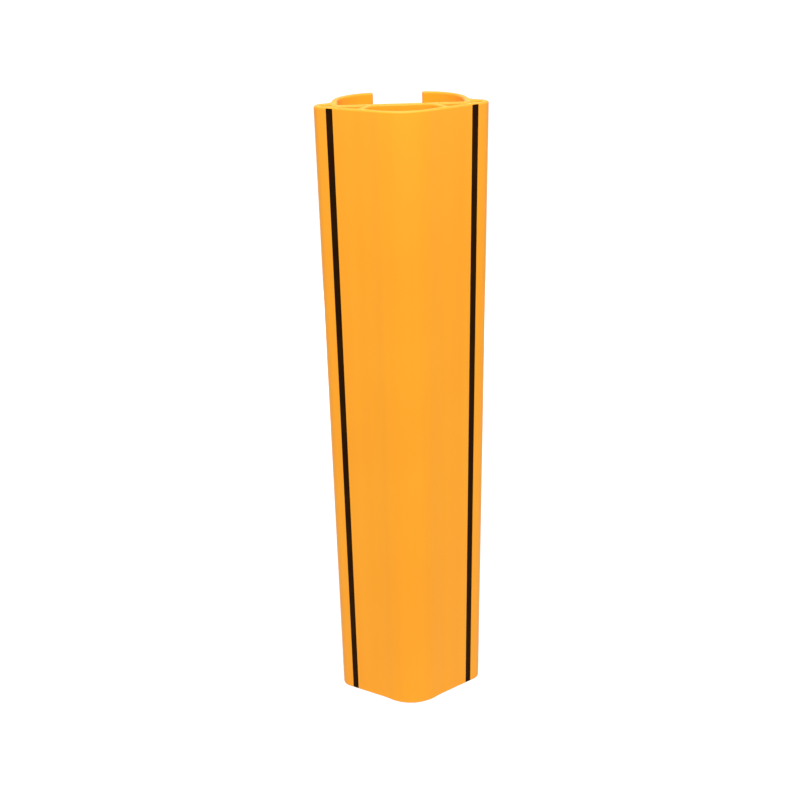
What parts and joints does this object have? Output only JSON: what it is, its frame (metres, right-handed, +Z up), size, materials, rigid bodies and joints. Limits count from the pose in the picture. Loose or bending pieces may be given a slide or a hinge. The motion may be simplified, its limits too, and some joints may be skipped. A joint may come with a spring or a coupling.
{
  "type": "rack upright protector",
  "caption": "Tall clip-on bumper for a storage-rack upright: hollow ribbed front, round side beads, dark inlaid stripes and curved spring arms that snap round the post.",
  "frame": {"origin": "on the floor, midway between the nose and the crown of the clip arms, in the plane of symmetry", "axes": "+Z up along the profile, -Y towards the traffic that the bumper faces, +X to the right seen from the front"},
  "size_m": [0.144, 0.1001, 0.6],
  "materials": {
    "yellow_polymer": "smooth extruded polymer with a soft sheen, orange-yellow through and through",
    "black_inlay": "satin near-black polymer strip"
  },
  "bodies": {
    "bumper": {"front_bumper": "yellow_polymer", "left_stripe": "black_inlay", "right_stripe": "black_inlay"},
    "left_arm": {"left_clip_arm": "yellow_polymer"},
    "right_arm": {"right_clip_arm": "yellow_polymer"}
  },
  "joints": [
    {"name": "left_arm_flex", "type": "hinge", "parent": "bumper", "child": "left_arm", "pos_m": [-0.05735, 0.01382, 0.3], "axis": [0, 0, 1], "range_deg": [0, 36], "stiffness_Nm_per_rad": 30},
    {"name": "right_arm_flex", "type": "hinge", "parent": "bumper", "child": "right_arm", "pos_m": [0.05735, 0.01382, 0.3], "axis": [0, 0, -1], "range_deg": [0, 36], "stiffness_Nm_per_rad": 30}
  ]
}
